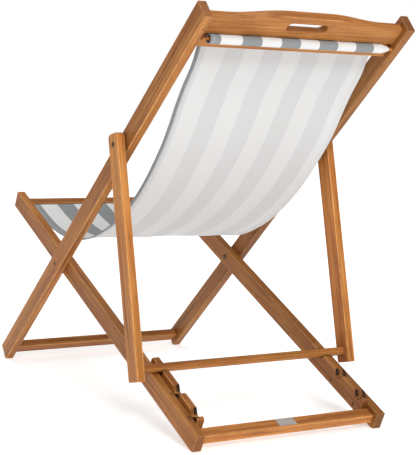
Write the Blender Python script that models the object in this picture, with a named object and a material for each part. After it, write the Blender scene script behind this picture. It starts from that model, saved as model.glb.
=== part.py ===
"""Folding wooden sling chair (deck chair) with a three-notch prop rack.

Metres, +Z up. The sitter faces -Y, the sitter's left is +X, and the chair stands on z = 0
with the centre of its footprint box at the origin. Three frames hinge on each other:
  seat_frame   rails that run from the front edge of the seat down to the floor at the rear
  back_frame   rails that run from the floor in front up to the crest, crossing the seat rails
  prop_frame   two outer legs joined by a round bar that drops into the notches of the seat frame
Distances along a rail are measured from the scissor pivot: u is positive towards the rail's
rear end, and n is measured square to the rail.
"""

import bpy
from math import atan2, cos, pi, radians, sin
from mathutils import Matrix, Vector

# ---------------------------------------------------------------- driving sizes (metres)

BACK_ANGLE = radians(42.5)      # slope of the back rails above the floor
SEAT_ANGLE = radians(23.04)     # slope of the seat rails, falling to the rear
PIVOT_Z = 0.2985                # height of the scissor pivot
PIVOT_Y = -0.17234              # puts the centre of the footprint box on y = 0

RAIL_BACK_W = 0.0446            # width of a back rail, across its length
RAIL_SEAT_W = 0.0434
LEG_W = 0.0444
SEAT_X = (0.2235, 0.2446)       # inner and outer face of the left seat rail
BACK_X = (0.2460, 0.2660)       # inner and outer face of the left back rail
LEG_X = (0.2712, 0.2900)        # inner and outer face of the left prop leg

BACK_U = (-0.4220, 0.8895)      # back rail: foot end and top end
SEAT_U = (-0.3284, 0.7196)      # seat rail: front end and rear end
BOARD_N = 0.0100                # half thickness of every cross board

CREST_U = (0.8325, 0.8915)      # lower edge, and top of the crown at the middle
CREST_END_U = 0.8770            # top edge at the two ends
HANDLE_U = 0.8617               # centre of the hand slot
HANDLE_HALF = 0.0515            # half length of the hand slot
HANDLE_R = 0.0125               # half height of the hand slot
TOP_SLAT_U = (0.7925, 0.8195)
FOOT_RAIL_U = (-0.4090, -0.3800)
FRONT_RAIL_U = (-0.3120, -0.2840)
FRONT_SLAT_U = (-0.2710, -0.2440)
REAR_RAIL_U = (0.6795, 0.7085)

LEG_PIVOT_U = 0.4630            # prop hinge, along the back rail
LEG_TOP = 0.0250                # leg beyond the hinge
LEG_FOOT = 0.0270               # leg beyond the bar
BAR_R = 0.0098                  # prop bar
NOTCH_U = (0.4920, 0.5740, 0.6560)
NOTCH_SEAT_R = 0.0102           # rounded floor of a notch
RACK_U = (0.4530, 0.6791)
RACK_N = (-0.0100, 0.0340)
RACK_X = (0.2070, 0.2232)
RACK_SCREW_U = (0.5550, 0.6500)

SLING_HALF = 0.2210             # half width of the fabric
SLING_T = 0.0014
SLING_BAR_R = 0.0090
SLING_BAR_BODY = 0.2120         # half length of a sling bar's full-size middle part
SLING_PEG_R = 0.0033            # turned-down ends of a sling bar
SLING_POCKET_R = 0.0100         # middle of the fabric round a sling bar
SLING_BAR_N = 0.0190            # sling bar centre, behind the boards
SLOT_BACK_U = 0.8260            # middle of the slot below the crest
SLOT_FRONT_U = -0.2775          # middle of the slot at the front of the seat

TENON_LEN = 0.0120
TENON_T = 0.0050                # half thickness of a tenon
TENON_STEP = 0.0045             # shoulder left above and below a tenon
GAP = 0.0003                    # fitting gap between separate pieces
RUN = 0.0001                    # running clearance round a hinge bolt
PIN_R = 0.0015
BOLT_R = 0.0030
EDGE = 0.0018                   # eased edges of the timber

# ---------------------------------------------------------------- scene, materials, frames

for old in list(bpy.data.objects):
    bpy.data.objects.remove(old, do_unlink=True)


def material(name, colour, metallic, roughness):
    made = bpy.data.materials.new(name)
    made.use_nodes = True
    shader = made.node_tree.nodes["Principled BSDF"]
    shader.inputs["Base Color"].default_value = (*colour, 1.0)
    shader.inputs["Metallic"].default_value = metallic
    shader.inputs["Roughness"].default_value = roughness
    made.diffuse_color = (*colour, 1.0)
    return made


WOOD = material("oiled_hardwood", (0.47, 0.235, 0.095), 0.0, 0.45)
RACK_WOOD = material("rack_hardwood", (0.43, 0.205, 0.080), 0.0, 0.5)
FABRIC = material("woven_sling", (0.80, 0.81, 0.82), 0.0, 0.9)
STEEL = material("plated_steel", (0.42, 0.40, 0.37), 1.0, 0.35)
PLATE = material("label_aluminium", (0.75, 0.75, 0.76), 1.0, 0.4)


class Frame:
    """A tilted drawing plane square to X: u along the rail, n square to it."""

    def __init__(self, origin, along, normal):
        self.origin = Vector((0.0, origin[0], origin[1]))
        self.along = Vector((0.0, along[0], along[1]))
        self.normal = Vector((0.0, normal[0], normal[1]))

    def at(self, x, u, n):
        return self.origin + self.along * u + self.normal * n + Vector((x, 0.0, 0.0))


PIVOT = (PIVOT_Y, PIVOT_Z)
BACK = Frame(PIVOT, (cos(BACK_ANGLE), sin(BACK_ANGLE)), (sin(BACK_ANGLE), -cos(BACK_ANGLE)))
SEAT = Frame(PIVOT, (cos(SEAT_ANGLE), -sin(SEAT_ANGLE)), (sin(SEAT_ANGLE), cos(SEAT_ANGLE)))

leg_top = BACK.at(0.0, LEG_PIVOT_U, 0.0)
BAR_N = RAIL_SEAT_W / 2 + NOTCH_SEAT_R
bar_centre = SEAT.at(0.0, NOTCH_U[0], BAR_N)
LEG_PIVOT_TO_BAR = (bar_centre - leg_top).length
leg_dir = (bar_centre - leg_top).normalized()
LEG = Frame((leg_top.y, leg_top.z), (leg_dir.y, leg_dir.z), (-leg_dir.z, leg_dir.y))


def empty(name, point):
    holder = bpy.data.objects.new(name, None)
    holder.location = point
    holder.empty_display_size = 0.03
    bpy.context.scene.collection.objects.link(holder)
    return holder


SEAT_BODY = empty("seat_frame", SEAT.at(0.0, 0.0, 0.0))
BACK_BODY = empty("back_frame", BACK.at(0.0, 0.0, 0.0))
LEG_BODY = empty("prop_frame", leg_top)

# ---------------------------------------------------------------- shape helpers


def add_object(name, mesh, body, stuff, helper=False):
    thing = bpy.data.objects.new(name, mesh)
    bpy.context.scene.collection.objects.link(thing)
    if helper:
        thing.hide_render = True
        thing.display_type = "WIRE"
        return thing
    mesh.transform(Matrix.Translation(-body.location))
    thing.parent = body
    mesh.materials.append(stuff)
    return thing


def prism(name, frame, outline, x0, x1):
    """A closed mesh: an outline of (u, n) points, pushed from x0 to x1."""
    area = 0.0
    for (u0, n0), (u1, n1) in zip(outline, outline[1:] + outline[:1]):
        area += u0 * n1 - u1 * n0
    turn = frame.along.cross(frame.normal).x * area
    points = list(outline) if turn > 0 else list(reversed(outline))
    count = len(points)
    verts = [frame.at(x0, u, n) for u, n in points] + [frame.at(x1, u, n) for u, n in points]
    faces = [tuple(reversed(range(count))), tuple(range(count, 2 * count))]
    for i in range(count):
        j = (i + 1) % count
        faces.append((i, j, count + j, count + i))
    mesh = bpy.data.meshes.new(name)
    mesh.from_pydata(verts, [], faces)
    mesh.update()
    return mesh


def turned(name, start, axis, profile, sides):
    """A closed round mesh about an axis: profile is a list of (distance along, radius)."""
    axis = axis.normalized()
    side = axis.orthogonal().normalized()
    other = axis.cross(side)
    verts = []
    rings = []
    for along, radius in profile:
        if radius <= 0.0:
            verts.append(start + axis * along)
            rings.append([len(verts) - 1])
            continue
        ring = []
        for k in range(sides):
            a = 2 * pi * k / sides
            verts.append(start + axis * along + (side * cos(a) + other * sin(a)) * radius)
            ring.append(len(verts) - 1)
        rings.append(ring)
    faces = []
    if len(rings[0]) > 1:
        faces.append(tuple(reversed(rings[0])))
    if len(rings[-1]) > 1:
        faces.append(tuple(rings[-1]))
    for low, high in zip(rings, rings[1:]):
        for k in range(sides):
            j = (k + 1) % sides
            if len(low) == 1:
                faces.append((low[0], high[j], high[k]))
            elif len(high) == 1:
                faces.append((low[k], low[j], high[0]))
            else:
                faces.append((low[k], low[j], high[j], high[k]))
    mesh = bpy.data.meshes.new(name)
    mesh.from_pydata(verts, [], faces)
    mesh.update()
    return mesh


def box_mesh(name, frame, x_range, u_range, n_range):
    (u0, u1), (n0, n1) = u_range, n_range
    return prism(name, frame, [(u0, n0), (u1, n0), (u1, n1), (u0, n1)], *x_range)


def cut(thing, cutter_mesh):
    """Takes a mesh in world space out of a finished object."""
    body = thing.parent
    cutter_mesh.transform(Matrix.Translation(-body.location))
    cutter = add_object(thing.name + "_cutter", cutter_mesh, None, None, helper=True)
    cutter.parent = body
    mod = thing.modifiers.new("cut", "BOOLEAN")
    mod.operation = "DIFFERENCE"
    mod.solver = "EXACT"
    mod.object = cutter
    return cutter


def eased(thing, width=EDGE, segments=2, angle=32.0):
    mod = thing.modifiers.new("eased_edges", "BEVEL")
    mod.width = width
    mod.segments = segments
    mod.limit_method = "ANGLE"
    mod.angle_limit = radians(angle)
    mod.use_clamp_overlap = True
    mod.miter_outer = "MITER_ARC"
    return mod


def smooth(thing):
    for face in thing.data.polygons:
        face.use_smooth = True
    thing.data.set_sharp_from_angle(angle=radians(38.0))


def clip_to_floor(outline, frame):
    """Cuts an outline off at z = 0, which leaves a small flat where a rail stands."""
    kept = []
    for i, here in enumerate(outline):
        there = outline[(i + 1) % len(outline)]
        z0 = frame.at(0.0, *here).z
        z1 = frame.at(0.0, *there).z
        if z0 >= 0.0:
            kept.append(here)
        if (z0 < 0.0) != (z1 < 0.0):
            share = z0 / (z0 - z1)
            kept.append(tuple(a + (b - a) * share for a, b in zip(here, there)))
    return kept


def mirrored(x_range, side):
    return x_range if side > 0 else (-x_range[1], -x_range[0])


SIDES = ((1, "left"), (-1, "right"))

# ---------------------------------------------------------------- rails and legs


def rail(name, frame, body, outline, x_range):
    mesh = prism(name, frame, outline, *x_range)
    thing = add_object(name, mesh, body, WOOD)
    eased(thing)
    return thing


def mortise(thing, frame, side, face_x, u_range):
    """A blind pocket in a rail's inner face, for the tenon of a board."""
    deep = face_x + TENON_LEN + 2 * GAP
    x_range = mirrored((face_x - 0.004, deep), side)
    u0, u1 = u_range
    room = (u0 + TENON_STEP - GAP, u1 - TENON_STEP + GAP)
    across = (-TENON_T - GAP, TENON_T + GAP)
    cut(thing, box_mesh("pocket", frame, x_range, room, across))


def drill(thing, start, end, radius, sides=20):
    span = end - start
    cut(thing, turned("drill", start, span, [(0.0, radius), (span.length, radius)], sides))


def pin_line(frame, side, face_x, u_mid, entry_n):
    """Start and end of the pin that locks a tenon, driven in from one edge of the rail."""
    x = side * (face_x + TENON_LEN * 0.55)
    way = -1.0 if entry_n > 0 else 1.0
    return frame.at(x, u_mid, entry_n), frame.at(x, u_mid, way * (TENON_T + 0.0045))


def add_pin(name, thing, board, frame, body, side, face_x, u_mid, entry_n):
    start, end = pin_line(frame, side, face_x, u_mid, entry_n)
    way = (end - start).normalized()
    for piece in (thing, board):
        drill(piece, start - way * 0.004, end + way * GAP, PIN_R + GAP, 16)
    length = (end - start).length
    profile = [(0.0004, PIN_R * 0.8), (0.0008, PIN_R), (length, PIN_R)]
    pin = add_object(name, turned(name, start, way, profile, 16), body, STEEL)
    smooth(pin)
    return pin


def board_outline(u0, u1):
    return [(u0, -BOARD_N), (u1, -BOARD_N), (u1, BOARD_N), (u0, BOARD_N)]


def tenoned_board(name, frame, body, u_range, face_x, stuff=WOOD):
    """A cross board between the rails, with a tenon let into each of them."""
    u0, u1 = u_range
    half = face_x - GAP
    thing = add_object(name, prism(name, frame, board_outline(u0, u1), -half, half), body, stuff)
    eased(thing)
    join_tenons(thing, frame, u0, u1, half)
    return thing


def join_tenons(thing, frame, u0, u1, half):
    body = thing.parent
    for side, word in SIDES:
        x_range = mirrored((half - 0.010, half + TENON_LEN), side)
        core = box_mesh("tenon", frame, x_range, (u0 + TENON_STEP, u1 - TENON_STEP),
                        (-TENON_T, TENON_T))
        core.transform(Matrix.Translation(-body.location))
        helper = add_object(thing.name + "_tenon_" + word, core, None, None, helper=True)
        helper.parent = body
        mod = thing.modifiers.new("tenon", "BOOLEAN")
        mod.operation = "UNION"
        mod.solver = "EXACT"
        mod.object = helper


half_back = RAIL_BACK_W / 2
half_seat = RAIL_SEAT_W / 2
half_leg = LEG_W / 2

back_rails = {}
seat_rails = {}
legs = {}
for side, word in SIDES:
    b0, b1 = BACK_U
    outline = [(b0, -half_back), (b1, -half_back), (b1, half_back), (b0, half_back)]
    back_rails[side] = rail("back_rail_" + word, BACK, BACK_BODY,
                            clip_to_floor(outline, BACK), mirrored(BACK_X, side))
    s0, s1 = SEAT_U
    outline = [(s0, -half_seat), (s1, -half_seat), (s1, half_seat), (s0, half_seat)]
    seat_rails[side] = rail("seat_rail_" + word, SEAT, SEAT_BODY,
                            clip_to_floor(outline, SEAT), mirrored(SEAT_X, side))

    t0, t1 = -LEG_TOP, LEG_PIVOT_TO_BAR + LEG_FOOT
    crown, foot = 0.0110, 0.0045
    outline = []
    for cu, cn, start, radius in (
        (t1 - foot, half_leg - foot, 0, foot),
        (t0 + crown, half_leg - crown, 90, crown),
        (t0 + crown, crown - half_leg, 180, crown),
        (t1 - foot, foot - half_leg, 270, foot),
    ):
        for k in range(6):
            a = radians(start + 18.0 * k)
            outline.append((cu + radius * cos(a), cn + radius * sin(a)))
    legs[side] = rail("prop_leg_" + word, LEG, LEG_BODY, outline, mirrored(LEG_X, side))

# ---------------------------------------------------------------- cross boards

top_slat = tenoned_board("top_slat", BACK, BACK_BODY, TOP_SLAT_U, BACK_X[0])
foot_rail = tenoned_board("back_foot_rail", BACK, BACK_BODY, FOOT_RAIL_U, BACK_X[0])
front_rail = tenoned_board("seat_front_rail", SEAT, SEAT_BODY, FRONT_RAIL_U, SEAT_X[0])
front_slat = tenoned_board("seat_front_slat", SEAT, SEAT_BODY, FRONT_SLAT_U, SEAT_X[0])
rear_rail = tenoned_board("seat_rear_rail", SEAT, SEAT_BODY, REAR_RAIL_U, SEAT_X[0])


def crest_top(x):
    """Height of the crest's top edge: a flat crown that runs down in a soft S to each end."""
    flat, end = 0.055, 0.195
    share = min(max((abs(x) - flat) / (end - flat), 0.0), 1.0)
    share = share * share * (3.0 - 2.0 * share)
    return CREST_U[1] + (CREST_END_U - CREST_U[1]) * share


def crest_mesh():
    """The crest board, drawn in (x, u) and pushed through its thickness."""
    half = BACK_X[0] - GAP
    steps = 40
    edge = [(-half, CREST_U[0]), (half, CREST_U[0])]
    for k in range(steps + 1):
        x = half - 2 * half * k / steps
        edge.append((x, crest_top(x)))
    count = len(edge)
    verts = [BACK.at(x, u, -BOARD_N) for x, u in edge]
    verts += [BACK.at(x, u, BOARD_N) for x, u in edge]
    faces = [tuple(range(count)), tuple(reversed(range(count, 2 * count)))]
    for i in range(count):
        j = (i + 1) % count
        faces.append((i, count + i, count + j, j))
    mesh = bpy.data.meshes.new("crest_rail")
    mesh.from_pydata(verts, [], faces)
    mesh.update()
    return mesh


def handle_mesh():
    """The cutter for the hand slot: a long hole with round ends."""
    edge = []
    reach = HANDLE_HALF - HANDLE_R
    for centre, start in ((reach, -90.0), (-reach, 90.0)):
        for k in range(13):
            a = radians(start + 15.0 * k)
            edge.append((centre + HANDLE_R * cos(a), HANDLE_U + HANDLE_R * sin(a)))
    count = len(edge)
    verts = [BACK.at(x, u, -0.020) for x, u in edge] + [BACK.at(x, u, 0.020) for x, u in edge]
    faces = [tuple(range(count)), tuple(reversed(range(count, 2 * count)))]
    for i in range(count):
        j = (i + 1) % count
        faces.append((i, count + i, count + j, j))
    mesh = bpy.data.meshes.new("hand_slot")
    mesh.from_pydata(verts, [], faces)
    mesh.update()
    return mesh


crest = add_object("crest_rail", crest_mesh(), BACK_BODY, WOOD)
cut(crest, handle_mesh())
eased(crest)
join_tenons(crest, BACK, CREST_U[0], CREST_END_U, BACK_X[0] - GAP)

# ---------------------------------------------------------------- mortises and locking pins

for side, word in SIDES:
    for board, part, u_range, entry in (
            (crest, "crest", (CREST_U[0], CREST_END_U), half_back),
            (top_slat, "top_slat", TOP_SLAT_U, -half_back),
            (foot_rail, "foot_rail", FOOT_RAIL_U, -half_back)):
        mortise(back_rails[side], BACK, side, BACK_X[0], u_range)
        add_pin("pin_" + part + "_" + word, back_rails[side], board, BACK, BACK_BODY,
                side, BACK_X[0], sum(u_range) / 2, entry)
    for board, part, u_range in ((front_rail, "front_rail", FRONT_RAIL_U),
                                 (front_slat, "front_slat", FRONT_SLAT_U),
                                 (rear_rail, "rear_rail", REAR_RAIL_U)):
        mortise(seat_rails[side], SEAT, side, SEAT_X[0], u_range)
        add_pin("pin_" + part + "_" + word, seat_rails[side], board, SEAT, SEAT_BODY,
                side, SEAT_X[0], sum(u_range) / 2, -half_seat)

# ---------------------------------------------------------------- notched racks


def rack_outline():
    """The side view of a rack: three notches with a round floor and flared walls."""
    u0, u1 = RACK_U
    low, high = RACK_N
    outline = [(u0, low), (u0, high - 0.0060), (u0 + 0.0035, high)]
    for u in NOTCH_U:
        front, rear = radians(52.0), radians(48.0)
        start, stop = pi + (pi / 2 - front), 2 * pi - (pi / 2 - rear)
        u_front = u + NOTCH_SEAT_R * cos(start)
        n_front = BAR_N + NOTCH_SEAT_R * sin(start)
        u_rear = u + NOTCH_SEAT_R * cos(stop)
        n_rear = BAR_N + NOTCH_SEAT_R * sin(stop)
        outline.append((u_front - (high - n_front) * cos(front) / sin(front), high))
        for k in range(9):
            a = start + (stop - start) * k / 8
            outline.append((u + NOTCH_SEAT_R * cos(a), BAR_N + NOTCH_SEAT_R * sin(a)))
        outline.append((u_rear + (high - n_rear) * cos(rear) / sin(rear), high))
    outline += [(u1 - 0.0010, high - 0.0030), (u1, high - 0.0060), (u1, low)]
    return outline


for side, word in SIDES:
    name = "rack_" + word
    rack = add_object(name, prism(name, SEAT, rack_outline(), *mirrored(RACK_X, side)),
                      SEAT_BODY, RACK_WOOD)
    eased(rack, 0.0010)
    for u, place in zip(RACK_SCREW_U, ("front", "rear")):
        inner = SEAT.at(side * RACK_X[0], u, 0.0010)
        out = Vector((side, 0.0, 0.0))
        screw_r, head_r, sunk, head, length = 0.0020, 0.0038, 0.0010, 0.0026, 0.0290
        drill(rack, inner - out * 0.003, inner + out * 0.030, screw_r + GAP, 20)
        drill(rack, inner - out * 0.003, inner + out * (sunk + head + GAP), head_r + GAP, 24)
        drill(seat_rails[side], inner + out * 0.012, inner + out * (sunk + length + GAP),
              screw_r + GAP, 20)
        profile = [(0.0, head_r - 0.0006), (0.0006, head_r), (0.0012, head_r),
                   (head, screw_r), (length - 0.004, screw_r), (length, 0.0006)]
        screw = add_object("rack_screw_" + place + "_" + word,
                           turned("screw", inner + out * sunk, out, profile, 20),
                           SEAT_BODY, STEEL)
        smooth(screw)

# ---------------------------------------------------------------- scissor bolts

for side, word in SIDES:
    out = Vector((side, 0.0, 0.0))
    outer = SEAT.at(side * BACK_X[1], 0.0, 0.0)
    inner = SEAT.at(side * SEAT_X[0], 0.0, 0.0)
    sunk, head, head_r = 0.0010, 0.0030, 0.0055
    nut_t, nut_r = 0.0034, 0.0056
    drill(back_rails[side], outer + out * 0.004, outer - out * (sunk + head + GAP),
          head_r + GAP, 28)
    drill(back_rails[side], outer + out * 0.004, outer - out * 0.030, BOLT_R + RUN, 32)
    drill(seat_rails[side], inner - out * 0.006, inner + out * 0.030, BOLT_R + RUN, 32)
    start = outer - out * sunk
    reach = (start - inner).length + 0.0022
    profile = [(0.0, head_r - 0.0010), (0.0007, head_r), (head, head_r), (head, BOLT_R),
               (reach, BOLT_R)]
    bolt = add_object("scissor_bolt_" + word,
                      turned("bolt", start, -out, profile, 32), SEAT_BODY, STEEL)
    smooth(bolt)
    washer_mid = side * (SEAT_X[1] + BACK_X[0]) / 2
    thick = BACK_X[0] - SEAT_X[1] - 2 * GAP
    washer_start = SEAT.at(washer_mid, 0.0, 0.0) - out * thick / 2
    washer = add_object("scissor_washer_" + word,
                        turned("washer", washer_start, out, [(0.0, 0.0085), (thick, 0.0085)], 28),
                        SEAT_BODY, STEEL)
    drill(washer, washer_start - out * 0.003, washer_start + out * 0.004, BOLT_R + RUN, 32)
    smooth(washer)
    nut_start = inner - out * GAP
    profile = [(0.0, nut_r), (nut_t - 0.0010, nut_r), (nut_t - 0.0003, nut_r - 0.0006),
               (nut_t, nut_r - 0.0014)]
    nut = add_object("scissor_nut_" + word, turned("nut", nut_start, -out, profile, 28),
                     SEAT_BODY, STEEL)
    drill(nut, nut_start + out * 0.003, nut_start - out * (0.0022 + GAP), BOLT_R + GAP, 24)
    smooth(nut)

# ---------------------------------------------------------------- prop bar and prop bolts

bar_half = LEG_X[0] + 0.0110
bar_profile = [(0.0, BAR_R - 0.0010), (0.0010, BAR_R), (2 * bar_half - 0.0010, BAR_R),
               (2 * bar_half, BAR_R - 0.0010)]
bar_start = LEG.at(-bar_half, LEG_PIVOT_TO_BAR, 0.0)
prop_bar = add_object("prop_bar",
                      turned("prop_bar", bar_start, Vector((1.0, 0.0, 0.0)), bar_profile, 40),
                      LEG_BODY, WOOD)
smooth(prop_bar)

for side, word in SIDES:
    out = Vector((side, 0.0, 0.0))
    seat_of_bar = LEG.at(side * LEG_X[0], LEG_PIVOT_TO_BAR, 0.0)
    drill(legs[side], seat_of_bar - out * 0.004, seat_of_bar + out * (0.0110 + GAP),
          BAR_R + GAP, 40)
    start = LEG.at(side * (LEG_X[0] + 0.0058), LEG_PIVOT_TO_BAR, -half_leg)
    way = LEG.normal
    for piece in (legs[side], prop_bar):
        drill(piece, start - way * 0.004, start + way * (0.0270 + GAP), PIN_R + GAP, 16)
    pin = add_object("pin_prop_bar_" + word,
                     turned("pin", start + way * 0.0004, way,
                            [(0.0, PIN_R * 0.8), (0.0004, PIN_R), (0.0266, PIN_R)], 16),
                     LEG_BODY, STEEL)
    smooth(pin)

    hinge = LEG.at(side * LEG_X[1], 0.0, 0.0)
    head, head_r, nut_r, nut_t = 0.0024, 0.0060, 0.0058, 0.0040
    drill(legs[side], hinge + out * 0.004, hinge - out * 0.040, BOLT_R + RUN, 32)
    drill(back_rails[side], hinge + out * 0.004, hinge - out * 0.060, BOLT_R + RUN, 32)
    start = hinge + out * (head + GAP)
    reach = head + GAP + LEG_X[1] - BACK_X[0] + 0.0028
    profile = [(0.0, head_r - 0.0034), (0.0005, head_r - 0.0018), (0.0012, head_r - 0.0007),
               (0.0019, head_r), (head, head_r), (head, BOLT_R), (reach, BOLT_R)]
    bolt = add_object("prop_bolt_" + word, turned("bolt", start, -out, profile, 32),
                      BACK_BODY, STEEL)
    smooth(bolt)
    thick = LEG_X[0] - BACK_X[1] - 2 * GAP
    spacer_start = BACK.at(side * (BACK_X[1] + GAP), LEG_PIVOT_U, 0.0)
    spacer = add_object("prop_spacer_" + word,
                        turned("spacer", spacer_start, out, [(0.0, 0.0090), (thick, 0.0090)], 28),
                        BACK_BODY, STEEL)
    drill(spacer, spacer_start - out * 0.003, spacer_start + out * 0.009, BOLT_R + RUN, 32)
    smooth(spacer)
    nut_start = BACK.at(side * (BACK_X[0] - GAP), LEG_PIVOT_U, 0.0)
    profile = [(0.0, nut_r), (nut_t - 0.0012, nut_r), (nut_t - 0.0004, nut_r - 0.0010),
               (nut_t, nut_r - 0.0026)]
    nut = add_object("prop_nut_" + word, turned("nut", nut_start, -out, profile, 28),
                     BACK_BODY, STEEL)
    drill(nut, nut_start + out * 0.003, nut_start - out * (0.0028 + GAP), BOLT_R + GAP, 24)
    smooth(nut)

# ---------------------------------------------------------------- label plate

label = add_object("label_plate",
                   box_mesh("label_plate", SEAT, (-0.0180, 0.0280), (0.6830, 0.7050),
                            (BOARD_N + GAP, BOARD_N + GAP + 0.0009)),
                   SEAT_BODY, PLATE)
eased(label, 0.0003, 1)

# ---------------------------------------------------------------- sling bars and sling


def sling_bar(name, frame, body, u, n, half):
    """A round bar with a thin peg turned on each end."""
    start = frame.at(-half, u, n)
    peg = half - SLING_BAR_BODY
    front = [(0.0, SLING_PEG_R - 0.0008), (0.0008, SLING_PEG_R), (peg - 0.0002, SLING_PEG_R),
             (peg, SLING_BAR_R - 0.0010), (peg + 0.0010, SLING_BAR_R)]
    profile = front + [(2 * half - along, radius) for along, radius in reversed(front)]
    thing = add_object(name, turned(name, start, Vector((1.0, 0.0, 0.0)), profile, 36),
                       body, WOOD)
    smooth(thing)


sling_bar("sling_bar_top", BACK, BACK_BODY, SLOT_BACK_U, SLING_BAR_N, 0.2425)
sling_bar("sling_bar_front", SEAT, SEAT_BODY, SLOT_FRONT_U, -SLING_BAR_N, 0.2225)

# The fabric's side view runs from the slot below the crest down to the slot at the seat's front.


def side_point(frame, u, n):
    point = frame.at(0.0, u, n)
    return (point.y - PIVOT_Y, point.z - PIVOT_Z)


def sling_path():
    """Knots of the middle line of the hanging fabric, (y, z) from the scissor pivot."""
    knots = [side_point(BACK, SLOT_BACK_U, 0.0040), side_point(BACK, SLOT_BACK_U, -0.0080)]
    knots += [side_point(BACK, SLOT_BACK_U - 0.0018, -0.0108),
              side_point(BACK, SLOT_BACK_U - 0.0060, -0.0116),
              side_point(BACK, TOP_SLAT_U[0] + 0.0050, -0.0114),
              side_point(BACK, TOP_SLAT_U[0] - 0.0060, -0.0106)]
    knots += [(0.546, 0.492), (0.514, 0.452), (0.484, 0.407), (0.458, 0.363), (0.430, 0.322),
              (0.401, 0.286), (0.368, 0.248), (0.333, 0.213), (0.293, 0.179), (0.247, 0.147),
              (0.195, 0.117), (0.144, 0.094), (0.092, 0.075), (0.046, 0.0655), (0.0, 0.0620),
              (-0.056, 0.0645), (-0.110, 0.0730), (-0.161, 0.0860), (-0.200, 0.0990)]
    knots += [side_point(SEAT, FRONT_SLAT_U[1] + 0.0060, 0.0128),
              side_point(SEAT, FRONT_SLAT_U[1] - 0.0060, 0.0116),
              side_point(SEAT, FRONT_SLAT_U[0] - 0.0004, 0.0116),
              side_point(SEAT, SLOT_FRONT_U + 0.0018, 0.0108),
              side_point(SEAT, SLOT_FRONT_U, 0.0080),
              side_point(SEAT, SLOT_FRONT_U, -0.0040)]
    return knots


def rounded(knots):
    """Adds points between the widely spaced knots with a smooth curve through them all."""
    out = [knots[0]]
    for i in range(len(knots) - 1):
        p1, p2 = Vector(knots[i]), Vector(knots[i + 1])
        p0 = Vector(knots[i - 1]) if i else p1 * 2 - p2
        p3 = Vector(knots[i + 2]) if i + 2 < len(knots) else p2 * 2 - p1
        gap = (p2 - p1).length
        parts = 1 if gap < 0.030 else 2
        for k in range(1, parts):
            t = k / parts
            m1 = (p2 - p0) * (gap / max((p1 - p0).length + gap, 1e-6))
            m2 = (p3 - p1) * (gap / max((p3 - p2).length + gap, 1e-6))
            a = 2 * t ** 3 - 3 * t ** 2 + 1
            b = t ** 3 - 2 * t ** 2 + t
            c = 3 * t ** 2 - 2 * t ** 3
            d = t ** 3 - t ** 2
            out.append(tuple(p1 * a + m1 * b + p2 * c + m2 * d))
        out.append(knots[i + 1])
    return out


def strip_outline(path, thick):
    """Both faces of a strip of fabric round a middle line."""
    upper = []
    lower = []
    for i, (y, z) in enumerate(path):
        before = path[max(i - 1, 0)]
        after = path[min(i + 1, len(path) - 1)]
        ahead = Vector((after[0] - y, after[1] - z))
        behind = Vector((y - before[0], z - before[1]))
        ahead = ahead.normalized() if ahead.length else behind.normalized()
        behind = behind.normalized() if behind.length else ahead
        middle = (ahead + behind).normalized()
        stretch = thick / 2 / max(middle.dot(ahead), 0.5)
        upper.append((y - middle.y * stretch, z + middle.x * stretch))
        lower.append((y + middle.y * stretch, z - middle.x * stretch))
    return upper + list(reversed(lower))


FLAT = Frame(PIVOT, (1.0, 0.0), (0.0, 1.0))
sling = add_object("sling",
                   prism("sling", FLAT, strip_outline(rounded(sling_path()), SLING_T),
                         -SLING_HALF, SLING_HALF),
                   BACK_BODY, FABRIC)


def pocket(frame, u, n, word):
    """The fabric pocket round a sling bar, with the two layers that reach into the slot."""
    outer_r = SLING_POCKET_R + SLING_T / 2
    inner_r = SLING_POCKET_R - SLING_T / 2
    way = 1.0 if n > 0 else -1.0
    neck = SLING_T * 0.9
    edge = []
    lip = atan2(neck, (outer_r ** 2 - neck ** 2) ** 0.5)
    for k in range(33):
        a = -pi / 2 + lip + (2 * pi - 2 * lip) * k / 32
        edge.append((u + outer_r * cos(a), n + way * outer_r * sin(a)))
    edge.append((u - neck, way * 0.0025))
    edge.append((u + neck, way * 0.0025))
    mesh = prism("pocket", frame, edge, -SLING_HALF, SLING_HALF)
    mesh.transform(Matrix.Translation(-BACK_BODY.location))
    helper = add_object("sling_pocket_" + word, mesh, None, None, helper=True)
    helper.parent = BACK_BODY
    mod = sling.modifiers.new("pocket", "BOOLEAN")
    mod.operation = "UNION"
    mod.solver = "EXACT"
    mod.object = helper
    start = frame.at(-SLING_HALF - 0.01, u, n)
    drill(sling, start, frame.at(SLING_HALF + 0.01, u, n), inner_r, 36)


pocket(BACK, SLOT_BACK_U, SLING_BAR_N, "top")
pocket(SEAT, SLOT_FRONT_U, -SLING_BAR_N, "front")
smooth(sling)

for thing in bpy.data.objects:
    if thing.type == "MESH" and not thing.hide_render and not thing.data.polygons[0].use_smooth:
        smooth(thing)
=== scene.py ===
"""Looks of the folding sling chair: timber, woven striped sling, plated fasteners and a studio."""

from math import atan2, cos, pi, radians, sin

import bpy
from mathutils import Matrix, Vector


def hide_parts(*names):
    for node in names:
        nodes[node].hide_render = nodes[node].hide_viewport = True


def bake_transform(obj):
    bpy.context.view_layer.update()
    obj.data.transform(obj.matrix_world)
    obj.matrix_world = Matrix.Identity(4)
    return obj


# ---------------------------------------------------------------- the chair's own sizes (metres)
# x is towards the sitter's left, u runs along a rail from the scissor pivot, n is square to it.

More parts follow.
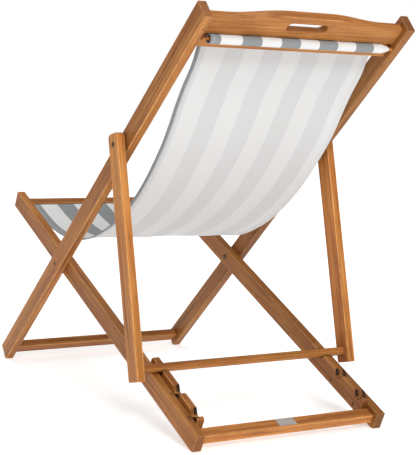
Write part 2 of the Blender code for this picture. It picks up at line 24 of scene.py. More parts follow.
PIVOT_Y, PIVOT_Z = -0.17234, 0.2985
PIVOT = (0.0, PIVOT_Y, PIVOT_Z)
BACK_ANGLE = radians(42.5)
SEAT_ANGLE = radians(23.04)
HALF_BACK, HALF_SEAT, HALF_LEG, HALF_BOARD = 0.0223, 0.0217, 0.0222, 0.0100
BACK_X, BACK_U = (0.2460, 0.2660), (-0.4220, 0.8895)
SEAT_X, SEAT_U = (0.2235, 0.2446), (-0.3284, 0.7196)
LEG_X, LEG_U = (0.2712, 0.2900), (-0.0250, 0.5190)
RACK_X, RACK_U, RACK_N = (0.2070, 0.2232), (0.4530, 0.6791), (-0.0100, 0.0340)
CREST_U = (0.8325, 0.8915)
TOP_SLAT_U = (0.7925, 0.8195)
FOOT_RAIL_U = (-0.4090, -0.3800)
FRONT_RAIL_U = (-0.3120, -0.2840)
FRONT_SLAT_U = (-0.2710, -0.2440)
REAR_RAIL_U = (0.6795, 0.7085)
BACK_BOARD_HALF, SEAT_BOARD_HALF = 0.2457, 0.2232   # half length of a board between the rails
TENON_LEN = 0.0120
LABEL_X, LABEL_U = (-0.0180, 0.0280), (0.6830, 0.7050)
SLOT_BACK_U, SLOT_FRONT_U = 0.8260, -0.2775
SLING_BAR_N = 0.0190
BAR_N = 0.0319                  # prop bar centre, above the middle of the seat rail
NOTCH_U = (0.4920, 0.5740, 0.6560)
LEG_PIVOT_U = 0.4630

# ---------------------------------------------------------------- the sling's own sizes

SLING_HALF = 0.2210
CLOTH_T = 0.0009                # thickness of the cloth
HEM_W = 0.0095                  # folded hem along each side
HEM_T = 0.0009                  # extra thickness of a hem, on the underside
STRIPE = 0.0480                 # width of a stripe
STRIPE_AT = 0.1980              # a stripe edge, from the centre line
STITCH = 0.0045                 # pitch of the hem stitches
THREAD_PITCH = 0.00135          # one over-and-under of the weave
WRAP_R = 0.00965                # middle of the cloth round a sling bar
NECK = 0.00075                  # half the distance between the two layers in a slot
WRAP_STEPS = 30
HANG_STEP = 0.0075              # length of a row of the hanging cloth
COLUMNS = 44                    # columns between the hems
CURL_FROM = 0.72                # share of the half width where the sides start to lift
TUBE_ROWS = 3                   # rows of a pocket that stay in the slot, at each end
OPEN_END = (0.1500, 0.2210)     # x range where the top tube is stretched outward, on the left
OPEN_REACH = 0.0055
CLOSED_END = (0.2124, 0.2210)   # -x range where it is drawn in round the bar's peg
CLOSED_REACH = 0.0105
CLOSED_SIZE = 0.46

# ---------------------------------------------------------------- floor and lights

FLOOR_HALF = 12.0
FLOOR_GLOW = 0.50               # light the floor gives off beside the chair
FAR_GLOW = 0.95                 # and far from it
GLOW_FROM, GLOW_TO = 0.9, 4.5   # distances between which one turns into the other
AMBIENT = 0.22                  # strength of the backdrop as a light
LIGHTS_AIM = (0.0, 0.1, 0.4)
SMOOTH_ANGLE = radians(38.0)

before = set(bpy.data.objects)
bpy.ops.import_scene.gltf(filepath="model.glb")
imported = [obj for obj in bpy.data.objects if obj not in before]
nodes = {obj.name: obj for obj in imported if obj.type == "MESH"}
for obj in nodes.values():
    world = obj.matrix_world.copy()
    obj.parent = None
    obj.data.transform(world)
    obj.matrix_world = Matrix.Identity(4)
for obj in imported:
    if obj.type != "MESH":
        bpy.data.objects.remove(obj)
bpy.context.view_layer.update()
scene = bpy.context.scene


# ---------------------------------------------------------------- camera

def aim_camera():
    """A long lens behind the sitter's left shoulder, a little below the crest of the back."""
    yaw, pitch, roll = 0.545949, 0.120495, 0.041097
    ahead = Vector((-sin(yaw) * cos(pitch), -cos(yaw) * cos(pitch), -sin(pitch)))
    right = ahead.cross(Vector((0.0, 0.0, 1.0))).normalized()
    up = right.cross(ahead).normalized()
    level_right = right * cos(roll) + up * sin(roll)
    level_up = up * cos(roll) - right * sin(roll)
    data = bpy.data.cameras.new("camera")
    data.lens = 102.68
    data.sensor_width = 36.0
    data.shift_x = -0.0006
    data.shift_y = 0.0152
    data.clip_start = 0.05
    data.clip_end = 60.0
    camera = bpy.data.objects.new("camera", data)
    turn = Matrix((level_right, level_up, -ahead)).transposed()
    camera.matrix_world = Matrix.Translation((1.57807, 2.704878, 0.765988)) @ turn.to_4x4()
    scene.collection.objects.link(camera)
    scene.camera = camera


aim_camera()

# ---------------------------------------------------------------- node helpers


class Nodes:
    """Short names for the nodes of one material."""

    def __init__(self, name):
        self.material = bpy.data.materials.new(name)
        self.material.use_nodes = True
        self.tree = self.material.node_tree
        self.shader = self.tree.nodes["Principled BSDF"]

    def add(self, kind, **settings):
        node = self.tree.nodes.new(kind)
        for key, value in settings.items():
            setattr(node, key, value)
        return node

    def plug(self, value, socket):
        if isinstance(value, bpy.types.NodeSocket):
            self.tree.links.new(value, socket)
        elif isinstance(value, (tuple, list)) and len(value) == 3 and socket.type == "RGBA":
            socket.default_value = (*value, 1.0)
        else:
            socket.default_value = value

    def math(self, operation, *values, clamp=False):
        node = self.add("ShaderNodeMath", operation=operation, use_clamp=clamp)
        for value, socket in zip(values, node.inputs):
            self.plug(value, socket)
        return node.outputs[0]

    def smooth(self, value, low, high, to_low=0.0, to_high=1.0):
        node = self.add("ShaderNodeMapRange", interpolation_type="SMOOTHSTEP")
        self.plug(value, node.inputs["Value"])
        self.plug(low, node.inputs["From Min"])
        self.plug(high, node.inputs["From Max"])
        self.plug(to_low, node.inputs["To Min"])
        self.plug(to_high, node.inputs["To Max"])
        return node.outputs[0]

    def mix(self, share, a, b, blend="MIX"):
        node = self.add("ShaderNodeMix", data_type="RGBA", blend_type=blend)
        self.plug(share, node.inputs[0])
        self.plug(a, node.inputs[6])
        self.plug(b, node.inputs[7])
        return node.outputs[2]

    def fade(self, value, full, gone):
        """1 up to the first distance and 0 beyond the second."""
        return self.smooth(value, full, gone, 1.0, 0.0)

    def times(self, first, *others):
        for other in others:
            first = self.math("MULTIPLY", first, other)
        return first

    def most(self, first, *others):
        for other in others:
            first = self.math("MAXIMUM", first, other)
        return first

    def least(self, first, *others):
        for other in others:
            first = self.math("MINIMUM", first, other)
        return first

    def within(self, value, low, high):
        """Distance inside a range: 0 at its two ends."""
        return self.least(self.math("SUBTRACT", value, low), self.math("SUBTRACT", high, value))

    def stretched(self, axes, scales):
        """A vector for a texture, with its own scale along each axis."""
        return self.combine(*(self.times(axis, scale) for axis, scale in zip(axes, scales)))

    def stain(self, tone, colour, share, strength):
        return self.mix(self.times(share, strength), tone, colour)

    def set(self, **values):
        for key, value in values.items():
            self.shader.inputs[key.replace("_", " ")].default_value = value

    def noise(self, vector, scale, detail=3.0, rough=0.55, distortion=0.0):
        node = self.add("ShaderNodeTexNoise")
        self.plug(vector, node.inputs["Vector"])
        node.inputs["Scale"].default_value = scale
        node.inputs["Detail"].default_value = detail
        node.inputs["Roughness"].default_value = rough
        node.inputs["Distortion"].default_value = distortion
        return node.outputs["Fac"]

    def combine(self, *axes):
        node = self.add("ShaderNodeCombineXYZ")
        for value, socket in zip(axes, node.inputs):
            self.plug(value, socket)
        return node.outputs[0]

    def bump(self, height, distance, strength=1.0, normal=None):
        node = self.add("ShaderNodeBump")
        node.inputs["Strength"].default_value = strength
        node.inputs["Distance"].default_value = distance
        self.plug(height, node.inputs["Height"])
        if normal is not None:
            self.plug(normal, node.inputs["Normal"])
        return node.outputs[0]

    def out(self, **values):
        for key, value in values.items():
            self.plug(value, self.shader.inputs[key.replace("_", " ")])


def tilted_axes(m, angle, origin=PIVOT):
    """x, u and n of a tilted frame, from the object's own coordinates."""
    mapping = m.add("ShaderNodeMapping", vector_type="TEXTURE")
    m.plug(m.add("ShaderNodeTexCoord").outputs["Object"], mapping.inputs["Vector"])
    mapping.inputs["Location"].default_value = origin
    mapping.inputs["Rotation"].default_value = (angle, 0.0, 0.0)
    parts = m.add("ShaderNodeSeparateXYZ")
    m.plug(mapping.outputs[0], parts.inputs[0])
    return parts.outputs[0], parts.outputs[1], parts.outputs[2]


# ---------------------------------------------------------------- timber

HONEY = (0.500, 0.205, 0.050)
AMBER = (0.285, 0.096, 0.020)
UMBER = (0.105, 0.032, 0.009)
PALE = (0.660, 0.305, 0.090)
RUSSET = (0.300, 0.084, 0.018)
EDGE_WOOD = (0.720, 0.365, 0.130)
END_GRAIN = (0.200, 0.072, 0.021)
# Colour of the painted shade in the notches and along the racks on the seat rails.
PAINTED_SHADE = (0.026, 0.010, 0.007)

# Texture scales across the grain, along it, and through the board.
FIGURE = (30.0, 1.9, 30.0)
STREAK = (210.0, 5.0, 210.0)
PORE = (1300.0, 46.0, 1300.0)
CLOUD = (1.0, 0.6, 1.0)
CHIP = (60.0, 60.0, 60.0)
SEED_SIDE, SEED_DEEP = 0.37, 0.21   # how far one board's figure lies from the next one's
EASED = (0.0006, 0.0026)            # distances over which the paler edges (wear and painted highlight) fade out
SAWN = (0.0004, 0.0016)             # and the darker sawn ends


def box_edge(m, x, u, n, box):
    """1 on the eased edges of a board and 0 on its flats, and the distance from its ends."""
    from_x, from_u, from_n = (m.within(axis, *span) for axis, span in zip((x, u, n), box))
    long_edge = m.fade(m.most(from_x, from_n), *EASED)
    end_edge = m.fade(m.most(from_u, m.least(from_x, from_n)), *EASED)
    return m.most(long_edge, end_edge), from_u


def timber(name, angle, box, seed, warm=0.0, light_and_tone=1.0, along="u", origin=PIVOT):
    """Oiled hardwood: streaked figure, fine pores, paler edges (wear and painted highlight),
    darker sawn ends.

    box: the board's (x, u, n) ranges. warm: how much redder it is. Its brightness factor: painted
    light and shade, with some tone difference between pieces.
    along: the axis that the grain follows.
    """
    m = Nodes(name)
    x, u, n = tilted_axes(m, angle, origin)
    if along == "u":
        run, side = u, x
        worn, from_end = box_edge(m, x, u, n, box)
    else:
        run, side = x, u
        worn, from_end = box_edge(m, u, x, n, (box[1], box[0], box[2]))
    grain_axes = (m.math("ADD", side, seed * SEED_SIDE), run, m.math("ADD", n, seed * SEED_DEEP))
    sweep = m.noise(m.stretched(grain_axes, FIGURE), 1.0, 4.0, 0.55, 0.6)
    streak = m.noise(m.stretched(grain_axes, STREAK), 1.0, 3.0, 0.6, 0.4)
    pore = m.smooth(m.noise(m.stretched(grain_axes, PORE), 1.0, 2.0, 0.5), 0.60, 0.70)
    cloud = m.noise(m.stretched(grain_axes, CLOUD), 9.0, 2.0)
    chip = m.noise(m.stretched((x, u, n), CHIP), 1.0, 3.0)
    tone = m.mix(m.smooth(sweep, 0.30, 0.70), AMBER, HONEY)
    tone = m.stain(tone, PALE, m.smooth(streak, 0.50, 0.70), 0.50)
    tone = m.stain(tone, UMBER, m.smooth(streak, 0.48, 0.30), 0.62)
    tone = m.stain(tone, RUSSET, m.smooth(cloud, 0.38, 0.64), 0.34 + warm)
    tone = m.stain(tone, UMBER, pore, 0.55)
    # Paler eased edges: partly wear, partly a painted highlight.
    tone = m.stain(tone, EDGE_WOOD, worn, m.smooth(chip, 0.30, 0.62, 0.28, 0.72))
    tone = m.stain(tone, END_GRAIN, m.fade(from_end, *SAWN), 0.65)
    # The brightness factor paints light and shade onto the piece.
    m.out(Base_Color=m.mix(1.0, tone, (light_and_tone, light_and_tone, light_and_tone), "MULTIPLY"))
    rough = m.math("ADD", m.times(streak, 0.22), 0.36)
    m.out(Roughness=m.math("ADD", rough, m.times(pore, 0.20)))
    grain = m.math("SUBTRACT", m.times(streak, 0.5), pore)
    m.out(Normal=m.bump(grain, 0.00022, 0.55, m.bump(sweep, 0.0012, 0.18)))
    m.set(Specular_IOR_Level=0.22)
    return m


def root_of_sum(m, a, b):
    return m.math("SQRT", m.math("ADD", a, b))


def paint_notch_shade(m):
    """Painted shade in each notch: darkens its walls, mostly their inner part, the outer part of
    its rear lip, and a ragged rim on the rack's side faces.
    """
    base = m.shader.inputs["Base Color"].links[0].from_socket
    x, u, n = tilted_axes(m, -SEAT_ANGLE)
    ragged = m.noise(m.stretched((x, u, n), (90.0, 240.0, 240.0)), 1.0, 4.0, 0.65)
    normal = m.add("ShaderNodeSeparateXYZ")
    m.plug(m.add("ShaderNodeTexCoord").outputs["Normal"], normal.inputs[0])
    flank = m.smooth(m.math("ABSOLUTE", normal.outputs[0]), 0.55, 0.85)
    reach = m.math("ABSOLUTE", x)
    inner_part = m.smooth(m.math("ADD", reach, m.times(ragged, 0.0016)), 0.2158, 0.2172, 1.0, 0.22)
    outer_part = m.smooth(reach, 0.2150, 0.2166)
    upper_part = m.smooth(n, 0.0180, 0.0195)
    notch_shade = 0.0
    for centre in NOTCH_U:
        du = m.math("SUBTRACT", u, centre)
        dn = m.math("SUBTRACT", n, BAR_N)
        far = root_of_sum(m, m.times(du, du), m.times(dn, dn))
        wall = m.times(m.smooth(m.math("ABSOLUTE", du), 0.0030, 0.0056), inner_part,
                       m.math("SUBTRACT", 1.0, flank), m.fade(far, 0.0150, 0.0170))
        rim = m.times(m.fade(far, 0.0112, 0.0142), flank, m.smooth(ragged, 0.40, 0.58))
        lip = m.times(outer_part, m.smooth(du, -0.0010, 0.0010), m.fade(du, 0.0165, 0.0185),
                      upper_part)
        notch_shade = m.most(notch_shade, wall, rim, lip)
    m.out(Base_Color=m.stain(base, PAINTED_SHADE, notch_shade, m.smooth(ragged, 0.22, 0.46, 0.80, 0.98)))


def slanted_shade(m, reach, du):
    """A dark band of painted shade that slants across the rail's top edge, in front of a notch."""
    line = m.times(m.math("ADD", du, 0.0260), -0.50)
    off = m.math("ABSOLUTE", m.math("SUBTRACT", reach, m.math("ADD", line, 0.2420)))
    return m.times(m.fade(off, 0.0030, 0.0046), m.smooth(du, -0.0290, -0.0270),
                   m.fade(du, 0.0120, 0.0150))


def soft_shade_patch(m, reach, du, wander):
    """Painted shade: a soft dark patch on the rail's top edge, beside a notch."""
    dx = m.math("SUBTRACT", reach, 0.2285)
    far = root_of_sum(m, m.times(dx, dx), m.times(du, du, 0.45))
    return m.times(m.fade(m.math("ADD", far, wander), 0.0010, 0.0085), 0.55)


def paint_rail_shade(m, side):
    """Painted shade on the rail's top edge: a dark line in the crease beside a rack, and dark
    marks at each notch.
    """
    base = m.shader.inputs["Base Color"].links[0].from_socket
    x, u, n = tilted_axes(m, -SEAT_ANGLE)
    reach = m.math("ABSOLUTE", x)
    ragged = m.noise(m.stretched((x, u, 0.0), (260.0, 260.0, 0.0)), 1.0, 3.0, 0.6)
    wander = m.times(m.math("SUBTRACT", ragged, 0.5), 0.0040)
    rail_shade = m.times(m.fade(m.math("ADD", reach, wander), 0.2252, 0.2262),
                     m.smooth(u, 0.4700, 0.4740), m.fade(u, 0.6760, 0.6790), 0.80)
    for centre in NOTCH_U:
        du = m.math("SUBTRACT", m.math("ADD", u, wander), centre)
        shade_band = slanted_shade(m, reach, du) if side < 0 else soft_shade_patch(m, reach, du, wander)
        rail_shade = m.most(rail_shade, shade_band)
    on_top = m.smooth(n, 0.0188, 0.0204)
    m.out(Base_Color=m.stain(base, PAINTED_SHADE, m.times(rail_shade, on_top), 0.95))


def mirrored(span, side):
    return span if side > 0 else (-span[1], -span[0])


def dress(name, material):
    node = nodes[name]
    node.data.materials.clear()
    node.data.materials.append(material)


# Angle, x and u ranges, half depth along n, seed of the figure, brightness (painted light and
# shade, with some tone between pieces).
BOARDS = {
    "back_rail_left": (BACK_ANGLE, BACK_X, BACK_U, HALF_BACK, 1, 1.0),
    "back_rail_right": (BACK_ANGLE, mirrored(BACK_X, -1), BACK_U, HALF_BACK, 2, 0.70),
    "seat_rail_left": (-SEAT_ANGLE, SEAT_X, SEAT_U, HALF_SEAT, 3, 0.98),
    "seat_rail_right": (-SEAT_ANGLE, mirrored(SEAT_X, -1), SEAT_U, HALF_SEAT, 4, 0.74),
}
# Angle, half length along x, u range, seed, brightness (painted light and shade, with some tone
# between pieces).
CROSS_BOARDS = {
    "crest_rail": (BACK_ANGLE, BACK_BOARD_HALF, CREST_U, 11, 1.0),
    "top_slat": (BACK_ANGLE, BACK_BOARD_HALF, TOP_SLAT_U, 12, 0.95),
    "back_foot_rail": (BACK_ANGLE, BACK_BOARD_HALF, FOOT_RAIL_U, 13, 0.86),
    "seat_front_rail": (-SEAT_ANGLE, SEAT_BOARD_HALF, FRONT_RAIL_U, 14, 0.86),
    "seat_front_slat": (-SEAT_ANGLE, SEAT_BOARD_HALF, FRONT_SLAT_U, 15, 0.86),
    "seat_rear_rail": (-SEAT_ANGLE, SEAT_BOARD_HALF, REAR_RAIL_U, 16, 1.28),
}
# Angle, (u, n) of the bar's middle line, seed.
ROUND_BARS = {
    "sling_bar_top": (BACK_ANGLE, (SLOT_BACK_U, -SLING_BAR_N), 21),
    "sling_bar_front": (-SEAT_ANGLE, (SLOT_FRONT_U, -SLING_BAR_N), 22),
    "prop_bar": (-SEAT_ANGLE, (NOTCH_U[0], BAR_N), 23),
}
ROUND_BAR_BOX = (0.4, 0.0135)       # half length and half width, larger than any of the bars

# The right-hand rails are darker, as painted shade from the sling above them.
for name, (angle, x_range, u_range, half, seed, light_and_tone) in BOARDS.items():
    board = timber(name + "_wood", angle, (x_range, u_range, (-half, half)), seed, light_and_tone=light_and_tone)
    if angle < 0:
        # painted shade on the seat rail's top edge, beside the rack and at the notches
        paint_rail_shade(board, 1 if name.endswith("left") else -1)
    dress(name, board.material)

for name, (angle, half, span, seed, light_and_tone) in CROSS_BOARDS.items():
    box = ((-half - TENON_LEN, half + TENON_LEN), span, (-HALF_BOARD, HALF_BOARD))
    dress(name, timber(name + "_wood", angle, box, seed, 0.06, light_and_tone, along="x").material)

leg_pivot = (0.0, PIVOT_Y + LEG_PIVOT_U * cos(BACK_ANGLE),
             PIVOT_Z + LEG_PIVOT_U * sin(BACK_ANGLE))
bar_at = (PIVOT_Y + NOTCH_U[0] * cos(SEAT_ANGLE) + BAR_N * sin(SEAT_ANGLE),
          PIVOT_Z - NOTCH_U[0] * sin(SEAT_ANGLE) + BAR_N * cos(SEAT_ANGLE))
leg_angle = atan2(bar_at[1] - leg_pivot[2], bar_at[0] - leg_pivot[1])

# The prop legs are brightened, as painted light.
for name, side, seed in (("prop_leg_left", 1, 5), ("prop_leg_right", -1, 6)):
    box = (mirrored(LEG_X, side), LEG_U, (-HALF_LEG, HALF_LEG))
    dress(name, timber(name + "_wood", leg_angle, box, seed, light_and_tone=1.22,
                       origin=leg_pivot).material)

# The left rack is brightened and the right one darkened, as painted light and shade.
for name, side, seed, light_and_tone in (("rack_left", 1, 7, 1.10), ("rack_right", -1, 8, 0.80)):
    box = (mirrored(RACK_X, side), RACK_U, RACK_N)
    rack = timber(name + "_wood", -SEAT_ANGLE, box, seed, warm=0.14, light_and_tone=light_and_tone)
    # painted shade in the rack's notches
    paint_notch_shade(rack)
    dress(name, rack.material)

for name, (angle, (u, n), seed) in ROUND_BARS.items():
    long, wide = ROUND_BAR_BOX
    box = ((-long, long), (u - wide, u + wide), (n - wide, n + wide))
    dress(name, timber(name + "_wood", angle, box, seed, light_and_tone=1.03, along="x").material)

# ---------------------------------------------------------------- metal

RUST_PIT = (0.08, 0.06, 0.05)


def metal(name, colour, rough, worn, scale):
    """Dull plated steel: brushed streaks, small pits and a little tarnish."""
    m = Nodes(name)
    at = m.add("ShaderNodeTexCoord").outputs["Object"]
    grime = m.noise(at, scale, 4.0, 0.6)
    pits = m.smooth(m.noise(at, scale * 9.0, 2.0), 0.58, 0.70)
    tone = m.mix(m.smooth(grime, 0.35, 0.70), colour, worn)
    m.out(Base_Color=m.stain(tone, RUST_PIT, pits, 0.4))
    m.out(Roughness=m.math("ADD", m.times(grime, 0.25), rough))
    m.out(Normal=m.bump(m.math("SUBTRACT", grime, pits), 0.00012, 0.6))
    m.set(Metallic=1.0)
    return m.material


STEEL = metal("plated_steel_look", (0.150, 0.115, 0.085), 0.36, (0.080, 0.052, 0.034), 240.0)
# A darker copy of the plated steel: painted shade on the pins and the rack screws, which sit in
# recesses.
SHADED_STEEL = metal("shaded_recessed_steel_look", (0.11, 0.09, 0.08), 0.45, (0.05, 0.035, 0.03), 260.0)
for name in nodes:
    if name.startswith(("pin_", "rack_screw")):
        dress(name, SHADED_STEEL)
    elif name.startswith(("prop_bolt", "scissor_", "prop_nut", "prop_spacer")):
        dress(name, STEEL)


def label_look():
    """A blank plate: fine brushing along its length, and a pressed border line."""
    m = Nodes("label_look")
    x, u, n = tilted_axes(m, -SEAT_ANGLE)
    brushed = m.noise(m.stretched((x, u, 0.0), (60.0, 5200.0, 0.0)), 1.0, 2.0)
    inset = m.least(m.within(x, *LABEL_X), m.within(u, *LABEL_U))
    line = m.times(m.smooth(inset, 0.0014, 0.0017), m.fade(inset, 0.0021, 0.0024))
    tone = m.stain((0.90, 0.885, 0.88), (0.70, 0.685, 0.68), brushed, 0.35)
    m.out(Base_Color=m.stain(tone, (0.26, 0.25, 0.25), line, 0.7))
    m.out(Roughness=m.math("ADD", m.times(brushed, 0.2), 0.30))
    m.out(Normal=m.bump(m.math("SUBTRACT", m.times(brushed, 0.2), line), 0.0002, 0.7))
    m.set(Metallic=0.85)
    return m.material


dress("label_plate", label_look())

# ---------------------------------------------------------------- cloth

SOIL = (0.62, 0.60, 0.56)
SEAM_SHADE = (0.35, 0.36, 0.37)
THREAD = (0.80, 0.80, 0.79)
SEAM_IN = 0.0017                # the stitch line, from the hem's inner edge


def stripe_mask(m, across):
    """1 on a grey stripe and 0 on a white one, with a slightly feathered woven edge."""
    part = m.math("FRACT", m.math("DIVIDE", m.math("SUBTRACT", across, STRIPE_AT), 2.0 * STRIPE))
    return m.times(m.smooth(part, 0.0, 0.006), m.fade(part, 0.5, 0.506))


def cloth(name, white, grey, weave_tint, hems=None):
    """Plain-woven sling cloth, striped along its length, with a stitched hem on each side.

    hems: the colours that the turned-over cloth shows on the left and the right hem.
    """
    m = Nodes(name)
    parts = m.add("ShaderNodeSeparateXYZ")
    m.plug(m.add("ShaderNodeUVMap", uv_map="cloth").outputs[0], parts.inputs[0])
    across, along = parts.outputs[0], parts.outputs[1]

    def flat_noise(scale_across, scale_along, detail, layer=0.0):
        return m.noise(m.stretched((across, along, layer), (scale_across, scale_along, 1.0)),
                       1.0, detail)

    drift = m.times(m.math("SUBTRACT", flat_noise(8.0, 8.0, 2.0), 0.5), 0.0012)
    tone = m.mix(stripe_mask(m, m.math("ADD", across, drift)), white, grey)
    pitch = 2.0 * pi / THREAD_PITCH
    weave = m.times(m.math("SINE", m.times(across, pitch)), m.math("SINE", m.times(along, pitch)))
    warp_slub = flat_noise(900.0, 60.0, 3.0)
    weft_slub = flat_noise(60.0, 900.0, 3.0)
    tone = m.stain(tone, weave_tint, m.smooth(weave, -0.2, -0.9), 0.13)
    tone = m.stain(tone, weave_tint, m.smooth(warp_slub, 0.50, 0.75), 0.10)
    tone = m.stain(tone, weave_tint, m.smooth(weft_slub, 0.52, 0.75), 0.08)
    tone = m.stain(tone, SOIL, m.smooth(flat_noise(5.0, 5.0, 3.0, 3.0), 0.45, 0.75), 0.05)
    inset = m.math("SUBTRACT", SLING_HALF, m.math("ABSOLUTE", across))
    if hems is not None:
        on_hem = m.fade(inset, HEM_W - 0.0002, HEM_W + 0.0002)
        left = m.math("GREATER_THAN", across, 0.0)
        tone = m.stain(tone, hems[0], on_hem, left)
        tone = m.stain(tone, hems[1], on_hem, m.math("SUBTRACT", 1.0, left))
    seam = m.math("ABSOLUTE", m.math("SUBTRACT", inset, HEM_W - SEAM_IN))
    beat = m.math("SUBTRACT", m.math("FRACT", m.math("DIVIDE", along, STITCH)), 0.5)
    dash = m.fade(m.math("ABSOLUTE", beat), 0.34, 0.42)
    thread = m.times(m.fade(seam, 0.0003, 0.0006), dash)
    sunk = m.fade(seam, 0.0004, 0.0016)
    tone = m.stain(tone, SEAM_SHADE, sunk, 0.10)
    m.out(Base_Color=m.stain(tone, THREAD, thread, 0.75))
    m.out(Roughness=m.math("ADD", m.times(warp_slub, 0.12), 0.80))
    height = m.times(weave, 0.35)
    for share, amount in ((warp_slub, 0.5), (weft_slub, 0.5), (thread, 1.2), (sunk, -1.3)):
        height = m.math("ADD", height, m.times(share, amount))
    m.out(Normal=m.bump(height, 0.00030, 0.5))
    m.set(Sheen_Weight=0.12, Sheen_Roughness=0.6, Specular_IOR_Level=0.2)
    return m.material


PRINTED = cloth("sling_printed_side", (0.735, 0.735, 0.730), (0.245, 0.258, 0.266),
                (0.42, 0.43, 0.44))
UNDER = cloth("sling_underside", (0.665, 0.668, 0.670), (0.592, 0.596, 0.600),
              (0.48, 0.48, 0.49), hems=((0.20, 0.215, 0.225), (0.64, 0.64, 0.64)))

# ---------------------------------------------------------------- the sling's shape


def back_point(u, n):
    return (u * cos(BACK_ANGLE) + n * sin(BACK_ANGLE), u * sin(BACK_ANGLE) - n * cos(BACK_ANGLE))


def seat_point(u, n):
    return (u * cos(SEAT_ANGLE) + n * sin(SEAT_ANGLE), -u * sin(SEAT_ANGLE) + n * cos(SEAT_ANGLE))


def pocket_path(place, centre_u, centre_n, way, side):
    """From the stitched end in the slot, once round the sling bar, and back to the slot."""
    points = []
    start = atan2(NECK * 1.6, WRAP_R)
    for k in range(WRAP_STEPS + 1):
        a = -pi / 2 + start + (2 * pi - 2 * start) * k / WRAP_STEPS
        points.append(place(centre_u + side * WRAP_R * cos(a), centre_n + way * WRAP_R * sin(a)))
    depths = (0.0015, 0.0045, 0.0075)
    head = [place(centre_u + side * NECK, way * v) for v in depths]
    tail = [place(centre_u - side * NECK, way * v) for v in reversed(depths)]
    return head + points + tail


def hanging_path():
    """The sling's middle line between its two slots, (y, z) from the scissor pivot."""
    knots = [back_point(SLOT_BACK_U - 0.0006, -0.0060),
             back_point(SLOT_BACK_U - 0.0018, -0.0104),
             back_point(SLOT_BACK_U - 0.0060, -0.0113),
             back_point(TOP_SLAT_U[0] + 0.0050, -0.0111),
             back_point(TOP_SLAT_U[0] - 0.0060, -0.0104)]
    knots += [(0.546, 0.492), (0.514, 0.452), (0.484, 0.407), (0.458, 0.363), (0.430, 0.322),
              (0.401, 0.286), (0.368, 0.248), (0.333, 0.213), (0.293, 0.179), (0.247, 0.147),
              (0.195, 0.117), (0.144, 0.094), (0.092, 0.075), (0.046, 0.0655), (0.0, 0.0620),
              (-0.056, 0.0645), (-0.110, 0.0730), (-0.161, 0.0860), (-0.200, 0.0990)]
    knots += [seat_point(FRONT_SLAT_U[1] + 0.0060, 0.0124),
              seat_point(FRONT_SLAT_U[1] - 0.0060, 0.0113),
              seat_point(FRONT_SLAT_U[0] - 0.0004, 0.0113),
              seat_point(SLOT_FRONT_U + 0.0018, 0.0104),
              seat_point(SLOT_FRONT_U + 0.0006, 0.0060)]
    return knots


def curve_through(knots, step):
    """A smooth curve through the knots, cut into steps of about that length."""
    out = [Vector(knots[0])]
    for i in range(len(knots) - 1):
        p1, p2 = Vector(knots[i]), Vector(knots[i + 1])
        p0 = Vector(knots[i - 1]) if i else p1 * 2 - p2
        p3 = Vector(knots[i + 2]) if i + 2 < len(knots) else p2 * 2 - p1
        gap = (p2 - p1).length
        m1 = (p2 - p0) * (gap / ((p1 - p0).length + gap))
        m2 = (p3 - p1) * (gap / ((p3 - p2).length + gap))
        parts = max(1, round(gap / step))
        for k in range(1, parts + 1):
            t = k / parts
            a = 2 * t ** 3 - 3 * t ** 2 + 1
            b = t ** 3 - 2 * t ** 2 + t
            c = 3 * t ** 2 - 2 * t ** 3
            d = t ** 3 - t ** 2
            out.append(p1 * a + m1 * b + p2 * c + m2 * d)
    return out


def share_between(value, low, high):
    return min(max((value - low) / (high - low), 0.0), 1.0)


def cloth_columns():
    """x of each column: the edges of the hems, and even steps between the hems."""
    inner = SLING_HALF - HEM_W
    columns = [-SLING_HALF, -SLING_HALF + 0.0006, -inner - 0.0005, -inner]
    columns += [-inner + 2 * inner * k / COLUMNS for k in range(1, COLUMNS)]
    return columns + [inner, inner + 0.0005, SLING_HALF - 0.0006, SLING_HALF]


def unevenness(x, run):
    """Soft ripples of the hanging cloth, and sides that lift a little."""
    ripple = 0.0011 * sin(31.0 * x + 2.2 * sin(7.0 * run)) + 0.0010 * sin(9.0 * x - 11.0 * run)
    return ripple + 0.0030 * share_between(abs(x) / SLING_HALF, CURL_FROM, 1.0) ** 2


def half_thickness(x, hemmed):
    thick = CLOTH_T / 2
    if hemmed and abs(x) > SLING_HALF - HEM_W + 0.0002:
        thick += HEM_T
    if abs(x) > SLING_HALF - 0.0003:
        thick *= 0.55
    return thick


def tube_ends(x, spot, axis):
    """The tube runs on past the bar at its open end, and is drawn in at its closed one."""
    opened = share_between(x, *OPEN_END)
    closed = share_between(-x, *CLOSED_END)
    spot = spot.lerp(axis + (spot - axis) * CLOSED_SIZE, closed)
    return x + OPEN_REACH * opened - CLOSED_REACH * closed, spot


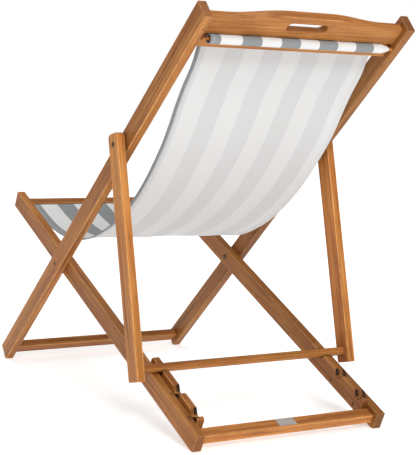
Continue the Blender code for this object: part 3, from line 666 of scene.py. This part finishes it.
def sling_mesh():
    """Both faces of the cloth, lofted along its path. Returns the mesh and the cloth's length."""
    top = pocket_path(back_point, SLOT_BACK_U, SLING_BAR_N, 1.0, -1.0)
    front = pocket_path(seat_point, SLOT_FRONT_U, -SLING_BAR_N, -1.0, 1.0)
    hang = curve_through(hanging_path(), HANG_STEP)
    path = [Vector(p) for p in top] + hang + [Vector(p) for p in reversed(front)]
    first_hang, last_hang = len(top), len(top) + len(hang) - 1
    runs = [0.0]
    for a, b in zip(path, path[1:]):
        runs.append(runs[-1] + (b - a).length)
    columns = cloth_columns()
    top_axis = Vector(back_point(SLOT_BACK_U, SLING_BAR_N))
    rows, wide = len(path), len(columns)
    verts = []
    coords = []
    for layer in (1.0, -1.0):       # 1 is the underside, -1 the printed side
        for i, point in enumerate(path):
            tangent = (path[min(i + 1, rows - 1)] - path[max(i - 1, 0)]).normalized()
            outward = Vector((-tangent.y, tangent.x))
            hanging = first_hang <= i <= last_hang
            loose = 0.0
            if hanging:
                t = (runs[i] - runs[first_hang]) / (runs[last_hang] - runs[first_hang])
                loose = max(0.0, min(1.0, 9.0 * t * (1.0 - t)) - 0.25) / 0.75
            pull = 1.0 - 0.006 * loose * sin(pi * (runs[i] / runs[-1])) ** 2
            for column in columns:
                thick = half_thickness(column, layer > 0 and hanging)
                x = column
                spot = point + outward * (loose * unevenness(column, runs[i]) + layer * thick)
                if TUBE_ROWS <= i < len(top) - TUBE_ROWS:
                    x, spot = tube_ends(x, spot, top_axis)
                verts.append((x * pull, PIVOT_Y + spot.x, PIVOT_Z + spot.y))
                coords.append((column, runs[i]))

    def index(layer, row, column):
        return (layer * rows + row) * wide + column

    faces = []
    slots = []
    for r in range(rows - 1):
        for c in range(wide - 1):
            faces.append((index(0, r, c), index(0, r, c + 1), index(0, r + 1, c + 1),
                          index(0, r + 1, c)))
            faces.append((index(1, r, c), index(1, r + 1, c), index(1, r + 1, c + 1),
                          index(1, r, c + 1)))
            slots += [1, 0]
        for c in (0, wide - 1):
            quad = (index(0, r, c), index(0, r + 1, c), index(1, r + 1, c), index(1, r, c))
            faces.append(quad if c == 0 else tuple(reversed(quad)))
            slots.append(0)
    for r in (0, rows - 1):
        for c in range(wide - 1):
            quad = (index(0, r, c), index(1, r, c), index(1, r, c + 1), index(0, r, c + 1))
            faces.append(quad if r == 0 else tuple(reversed(quad)))
            slots.append(0)
    mesh = bpy.data.meshes.new("sling_cloth")
    mesh.from_pydata(verts, [], faces)
    mesh.materials.append(PRINTED)
    mesh.materials.append(UNDER)
    uvs = mesh.uv_layers.new(name="cloth")
    for polygon, slot in zip(mesh.polygons, slots):
        polygon.material_index = slot
        polygon.use_smooth = True
        for loop in polygon.loop_indices:
            uvs.data[loop].uv = coords[mesh.loops[loop].vertex_index]
    mesh.update()
    return mesh, runs[-1]


mesh, cloth_length = sling_mesh()
sling = bpy.data.objects.new("sling_cloth", mesh)
scene.collection.objects.link(sling)
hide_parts("sling")
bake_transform(sling)

# ---------------------------------------------------------------- smooth shading, sharp at edges

for node in nodes.values():
    for polygon in node.data.polygons:
        polygon.use_smooth = True
    node.data.set_sharp_from_angle(angle=SMOOTH_ANGLE)

# ---------------------------------------------------------------- studio


def floor():
    """A pale studio floor that glows a little, so that it meets the backdrop without a line."""
    s = FLOOR_HALF
    mesh = bpy.data.meshes.new("floor")
    mesh.from_pydata([(-s, -s, 0.0), (s, -s, 0.0), (s, s, 0.0), (-s, s, 0.0)], [], [(0, 1, 2, 3)])
    made = bpy.data.objects.new("floor", mesh)
    m = Nodes("floor_look")
    m.set(Base_Color=(0.90, 0.90, 0.90, 1.0), Roughness=0.9, Specular_IOR_Level=0.0,
          Emission_Color=(1.0, 1.0, 1.0, 1.0))
    away = m.add("ShaderNodeVectorMath", operation="LENGTH")
    m.plug(m.add("ShaderNodeTexCoord").outputs["Object"], away.inputs[0])
    m.out(Emission_Strength=m.smooth(away.outputs["Value"], GLOW_FROM, GLOW_TO, FLOOR_GLOW,
                                     FAR_GLOW))
    mesh.materials.append(m.material)
    scene.collection.objects.link(made)


def area_light(name, place, target, size, power, colour=(1.0, 1.0, 1.0)):
    data = bpy.data.lights.new(name, "AREA")
    data.shape = "DISK"
    data.size = size
    data.energy = power
    data.color = colour
    light = bpy.data.objects.new(name, data)
    light.location = place
    light.rotation_euler = (Vector(target) - Vector(place)).to_track_quat("-Z", "Y").to_euler()
    scene.collection.objects.link(light)


floor()
area_light("key", (1.6, 5.0, 3.6), LIGHTS_AIM, 2.4, 190.0, (1.0, 0.99, 0.97))
area_light("top", (-0.3, 0.4, 4.4), LIGHTS_AIM, 2.2, 60.0)
area_light("front", (0.5, -3.8, 2.4), (0.0, 0.0, 0.4), 2.6, 35.0)

# The backdrop is seen as white, but lights the chair only weakly.
world = bpy.data.worlds.new("studio")
world.use_nodes = True
tree = world.node_tree
background = tree.nodes["Background"]
background.inputs["Color"].default_value = (1.0, 1.0, 1.0, 1.0)
seen = tree.nodes.new("ShaderNodeLightPath").outputs["Is Camera Ray"]
strength = tree.nodes.new("ShaderNodeMapRange")
tree.links.new(seen, strength.inputs["Value"])
strength.inputs["To Min"].default_value = AMBIENT
strength.inputs["To Max"].default_value = 1.0
tree.links.new(strength.outputs[0], background.inputs["Strength"])
scene.world = world
scene.view_settings.view_transform = "Standard"
scene.view_settings.look = "None"
scene.view_settings.exposure = 0.0
